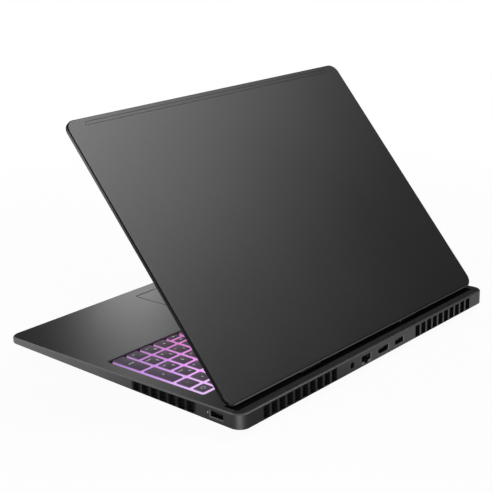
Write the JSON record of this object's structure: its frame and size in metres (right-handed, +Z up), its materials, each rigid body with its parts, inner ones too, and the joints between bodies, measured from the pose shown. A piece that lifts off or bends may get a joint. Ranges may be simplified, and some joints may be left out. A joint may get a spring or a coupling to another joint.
{
  "type": "laptop computer",
  "caption": "Dark grey clamshell laptop computer, half open, with a sloping lid on rear hinges, a backlit keyboard with number pad, slotted air vents and rear sockets.",
  "frame": {"origin": "middle of the base's footprint, on the desk", "axes": "+X to the user's right along the hinge, +Y to the rear where the sockets are, +Z up"},
  "size_m": [0.3564, 0.269, 0.2193],
  "materials": {
    "casing_metal": "dark grey anodised, fine satin",
    "lid_metal": "dark grey anodised, fine satin",
    "casing_plastic": "fine moulded grain",
    "screw_steel": "blackened",
    "foot_rubber": "matt",
    "trough_plastic": "matt black",
    "light_guide": "translucent, lit from its edge",
    "steel_plate": "pressed sheet",
    "socket_plastic": "matt black",
    "socket_metal": "nickel plated",
    "status_lens": "clear light guide",
    "copper": "bare copper",
    "circuit_board": "solder mask",
    "battery_foil": "black film over foil cells",
    "strip_plastic": "matched to the lid",
    "bezel_plastic": "matt black",
    "screen": "matt-coated dark panel",
    "camera_module": "black with a glass lens",
    "hinge_steel": "blackened",
    "touchpad_surface": "etched glass, satin",
    "grille_plastic": "matt black",
    "fan_plastic": "matt black",
    "fin_metal": "bare sheet fins",
    "speaker_plastic": "moulded",
    "keycap_plastic": "dark grey, light legends"
  },
  "bodies": {
    "base": {"top_cover": "casing_metal", "bottom_cover": "casing_plastic", "bottom_screws": "screw_steel", "rear_foot": "foot_rubber", "front_feet": "foot_rubber", "hinge_trough": "trough_plastic", "keyboard_light_panel": "light_guide", "keyboard_plate": "steel_plate", "touchpad_bracket": "steel_plate", "dc_jack": "socket_plastic", "network_socket": "socket_plastic", "display_socket": "socket_metal", "rear_usb_socket": "socket_metal", "right_usb_socket": "socket_metal", "left_usb_c_socket": "socket_metal", "audio_jack": "socket_plastic", "status_light": "status_lens", "heat_pipes": "copper", "cold_plate": "copper", "motherboard": "circuit_board", "memory_modules": "circuit_board", "storage_card": "circuit_board", "radio_card": "circuit_board", "battery": "battery_foil", "left_hinge_bracket": "hinge_steel", "rear_left_grille": "grille_plastic", "left_side_grille": "grille_plastic", "left_fan_housing": "fan_plastic", "left_fin_stack": "fin_metal", "left_speaker": "speaker_plastic", "right_hinge_bracket": "hinge_steel", "rear_right_grille": "grille_plastic", "right_side_grille": "grille_plastic", "right_fan_housing": "fan_plastic", "right_fin_stack": "fin_metal", "right_speaker": "speaker_plastic"},
    "lid": {"lid_cover": "lid_metal", "aerial_strip": "strip_plastic", "display_bezel": "bezel_plastic", "display_panel": "screen", "webcam": "camera_module", "left_hinge_arm": "hinge_steel", "right_hinge_arm": "hinge_steel"},
    "touchpad": {"touchpad": "touchpad_surface"},
    "left_fan": {"left_fan_rotor": "fan_plastic"},
    "right_fan": {"right_fan_rotor": "fan_plastic"},
    "function_row_keys": {"function_row_keys": "keycap_plastic"},
    "power_key": {"power_key": "keycap_plastic"},
    "number_row_keys": {"number_row_keys": "keycap_plastic"},
    "upper_letter_keys": {"upper_letter_keys": "keycap_plastic"},
    "home_letter_keys": {"home_letter_keys": "keycap_plastic"},
    "enter_key": {"enter_key": "keycap_plastic"},
    "lower_letter_keys": {"lower_letter_keys": "keycap_plastic"},
    "modifier_keys": {"modifier_keys": "keycap_plastic"},
    "space_bar": {"space_bar": "keycap_plastic"},
    "arrow_keys": {"arrow_keys": "keycap_plastic"},
    "numpad_plus_key": {"numpad_plus_key": "keycap_plastic"},
    "numpad_enter_key": {"numpad_enter_key": "keycap_plastic"},
    "numpad_keys": {"numpad_keys": "keycap_plastic"}
  },
  "joints": [
    {"name": "lid_hinge", "type": "hinge", "parent": "base", "child": "lid", "pos_m": [0, 0.11958, 0.02224], "axis": [-1, 0, 0], "range_deg": [-50.15, 84.85]},
    {"name": "touchpad_click", "type": "hinge", "parent": "base", "child": "touchpad", "pos_m": [-0.0272, -0.038, 0.0172], "axis": [1, 0, 0], "range_deg": [0, 0.25], "stiffness_Nm_per_rad": 14, "springref_deg": -0.57},
    {"name": "left_fan_spin", "type": "hinge", "parent": "base", "child": "left_fan", "pos_m": [-0.10512, 0.06825, 0.009], "axis": [0, 0, 1], "continuous": true},
    {"name": "right_fan_spin", "type": "hinge", "parent": "base", "child": "right_fan", "pos_m": [0.10512, 0.06825, 0.009], "axis": [0, 0, 1], "continuous": true},
    {"name": "function_row_keys_press", "type": "slide", "parent": "base", "child": "function_row_keys", "axis": [0, 0, -1], "range_m": [0, 0.0015], "stiffness_N_per_m": 300, "springref_m": -0.001},
    {"name": "power_key_press", "type": "slide", "parent": "base", "child": "power_key", "axis": [0, 0, -1], "range_m": [0, 0.0015], "stiffness_N_per_m": 300, "springref_m": -0.001},
    {"name": "number_row_keys_press", "type": "slide", "parent": "base", "child": "number_row_keys", "axis": [0, 0, -1], "range_m": [0, 0.0015], "stiffness_N_per_m": 300, "springref_m": -0.001},
    {"name": "upper_letter_keys_press", "type": "slide", "parent": "base", "child": "upper_letter_keys", "axis": [0, 0, -1], "range_m": [0, 0.0015], "stiffness_N_per_m": 300, "springref_m": -0.001},
    {"name": "home_letter_keys_press", "type": "slide", "parent": "base", "child": "home_letter_keys", "axis": [0, 0, -1], "range_m": [0, 0.0015], "stiffness_N_per_m": 300, "springref_m": -0.001},
    {"name": "enter_key_press", "type": "slide", "parent": "base", "child": "enter_key", "axis": [0, 0, -1], "range_m": [0, 0.0015], "stiffness_N_per_m": 300, "springref_m": -0.001},
    {"name": "lower_letter_keys_press", "type": "slide", "parent": "base", "child": "lower_letter_keys", "axis": [0, 0, -1], "range_m": [0, 0.0015], "stiffness_N_per_m": 300, "springref_m": -0.001},
    {"name": "modifier_keys_press", "type": "slide", "parent": "base", "child": "modifier_keys", "axis": [0, 0, -1], "range_m": [0, 0.0015], "stiffness_N_per_m": 300, "springref_m": -0.001},
    {"name": "space_bar_press", "type": "slide", "parent": "base", "child": "space_bar", "axis": [0, 0, -1], "range_m": [0, 0.0015], "stiffness_N_per_m": 300, "springref_m": -0.001},
    {"name": "arrow_keys_press", "type": "slide", "parent": "base", "child": "arrow_keys", "axis": [0, 0, -1], "range_m": [0, 0.0015], "stiffness_N_per_m": 300, "springref_m": -0.001},
    {"name": "numpad_plus_key_press", "type": "slide", "parent": "base", "child": "numpad_plus_key", "axis": [0, 0, -1], "range_m": [0, 0.0015], "stiffness_N_per_m": 300, "springref_m": -0.001},
    {"name": "numpad_enter_key_press", "type": "slide", "parent": "base", "child": "numpad_enter_key", "axis": [0, 0, -1], "range_m": [0, 0.0015], "stiffness_N_per_m": 300, "springref_m": -0.001},
    {"name": "numpad_keys_press", "type": "slide", "parent": "base", "child": "numpad_keys", "axis": [0, 0, -1], "range_m": [0, 0.0015], "stiffness_N_per_m": 300, "springref_m": -0.001}
  ]
}
